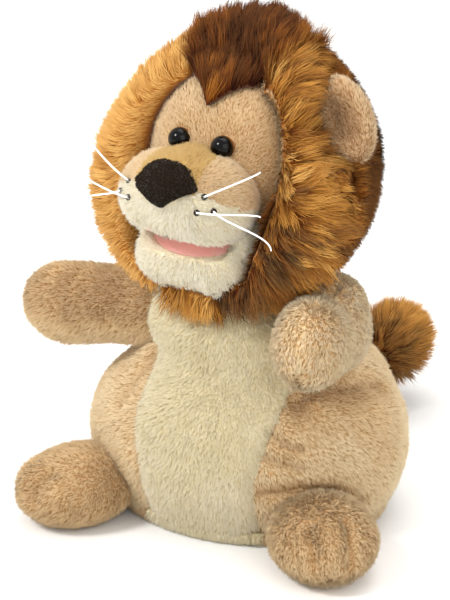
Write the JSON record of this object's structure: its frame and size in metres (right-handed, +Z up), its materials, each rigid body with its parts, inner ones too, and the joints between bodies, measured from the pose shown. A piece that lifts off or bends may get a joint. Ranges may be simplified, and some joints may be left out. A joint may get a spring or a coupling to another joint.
{
  "type": "lion hand puppet",
  "caption": "Seated plush lion hand puppet with a lined hand cavity, a fur mane, a moving mouth, sewn arms and feet, and a tufted tail.",
  "frame": {"origin": "Middle of the bounding box, on the floor that the hem and the soles stand on.", "axes": "+Z is up. The lion's body faces -Y and its tail reaches towards +Y. Its own left is +X."},
  "size_m": [0.209, 0.2612, 0.253],
  "materials": {
    "cream_plush": "short cut pile, matt, cream",
    "tan_plush": "short cut pile, matt, tan",
    "lining_cloth": "plain woven lining cloth",
    "filling": "polyester fibre filling",
    "brown_pile": "dense brown pile",
    "dark_felt": "dense short felt, very dark brown",
    "golden_long_pile": "long brushed pile, golden, mottled with orange brown",
    "golden_plush": "short cut pile, golden tan",
    "stiffener": "thin flexible plastic board",
    "pink_felt": "smooth pink felt",
    "dot_stitch": "embroidered black thread",
    "whisker_thread": "waxed white thread",
    "eye_plastic": "polished black plastic",
    "washer_plastic": "moulded plastic lock washer",
    "toe_thread": "brown sewing thread"
  },
  "bodies": {
    "torso": {"belly_panel": "cream_plush", "back_panel": "tan_plush", "hem_band": "cream_plush", "hand_lining": "lining_cloth", "left_flank_panel": "tan_plush", "left_body_filling": "filling", "right_flank_panel": "tan_plush", "right_body_filling": "filling"},
    "neck": {"neck_collar": "lining_cloth"},
    "head": {"head_filling": "filling", "finger_pocket": "lining_cloth", "face_panel": "tan_plush", "head_back_panel": "brown_pile", "nose_pad": "dark_felt", "mane_crown": "brown_pile", "mane_beard": "golden_long_pile", "mane_left": "golden_long_pile", "mane_right": "golden_long_pile", "muzzle_cheeks": "cream_plush", "muzzle_bridge": "golden_plush", "palate_board": "stiffener", "palate_felt": "pink_felt", "left_whisker_dot_1": "dot_stitch", "left_whisker_1": "whisker_thread", "left_whisker_dot_2": "dot_stitch", "left_whisker_2": "whisker_thread", "left_whisker_dot_3": "dot_stitch", "left_whisker_3": "whisker_thread", "right_whisker_dot_1": "dot_stitch", "right_whisker_1": "whisker_thread", "right_whisker_dot_2": "dot_stitch", "right_whisker_2": "whisker_thread", "right_whisker_dot_3": "dot_stitch", "right_whisker_3": "whisker_thread", "left_eye": "eye_plastic", "left_eye_washer": "washer_plastic", "right_eye": "eye_plastic", "right_eye_washer": "washer_plastic", "left_ear": "tan_plush", "right_ear": "tan_plush"},
    "jaw": {"lower_jaw": "cream_plush", "jaw_board": "stiffener", "mouth_floor_felt": "pink_felt"},
    "left_arm": {"left_arm": "tan_plush", "left_arm_filling": "filling"},
    "right_arm": {"right_arm": "tan_plush", "right_arm_filling": "filling"},
    "left_foot": {"left_foot": "tan_plush", "left_foot_filling": "filling", "left_toe_stitch_1": "toe_thread", "left_toe_stitch_2": "toe_thread"},
    "right_foot": {"right_foot": "tan_plush", "right_foot_filling": "filling", "right_toe_stitch_1": "toe_thread", "right_toe_stitch_2": "toe_thread"},
    "tail": {"tail": "tan_plush", "tail_tuft": "golden_long_pile"}
  },
  "joints": [
    {"name": "neck_turn", "type": "hinge", "parent": "torso", "child": "neck", "pos_m": [0.01003, -0.04031, 0.122], "axis": [0, 0, 1], "range_deg": [-25, 15], "stiffness_Nm_per_rad": 0.3},
    {"name": "head_nod", "type": "hinge", "parent": "neck", "child": "head", "pos_m": [0.01003, -0.04031, 0.122], "axis": [0.9877, -0.1564, 0], "range_deg": [-12, 6], "stiffness_Nm_per_rad": 0.4},
    {"name": "jaw_open", "type": "hinge", "parent": "head", "child": "jaw", "pos_m": [0.00424, -0.07685, 0.1555], "axis": [0.9877, -0.1564, 0], "range_deg": [-17, 8], "stiffness_Nm_per_rad": 0.1},
    {"name": "left_arm_swing", "type": "hinge", "parent": "torso", "child": "left_arm", "pos_m": [0.06103, -0.06031, 0.106], "axis": [0, 0, 1], "range_deg": [0, 60], "stiffness_Nm_per_rad": 0.05},
    {"name": "right_arm_swing", "type": "hinge", "parent": "torso", "child": "right_arm", "pos_m": [-0.04397, -0.05331, 0.101], "axis": [0, 0, 1], "range_deg": [-12, 60], "stiffness_Nm_per_rad": 0.05},
    {"name": "left_foot_lift", "type": "hinge", "parent": "torso", "child": "left_foot", "pos_m": [0.06803, -0.08631, 0.036], "axis": [-0.8291, -0.5591, 0], "range_deg": [0, 25], "stiffness_Nm_per_rad": 0.05},
    {"name": "right_foot_lift", "type": "hinge", "parent": "torso", "child": "right_foot", "pos_m": [-0.04797, -0.08631, 0.036], "axis": [-0.8291, 0.5591, 0], "range_deg": [0, 25], "stiffness_Nm_per_rad": 0.05},
    {"name": "tail_swing", "type": "hinge", "parent": "torso", "child": "tail", "pos_m": [0.01003, 0.02469, 0.02], "axis": [0, 0, 1], "range_deg": [-35, 35], "stiffness_Nm_per_rad": 0.03}
  ]
}
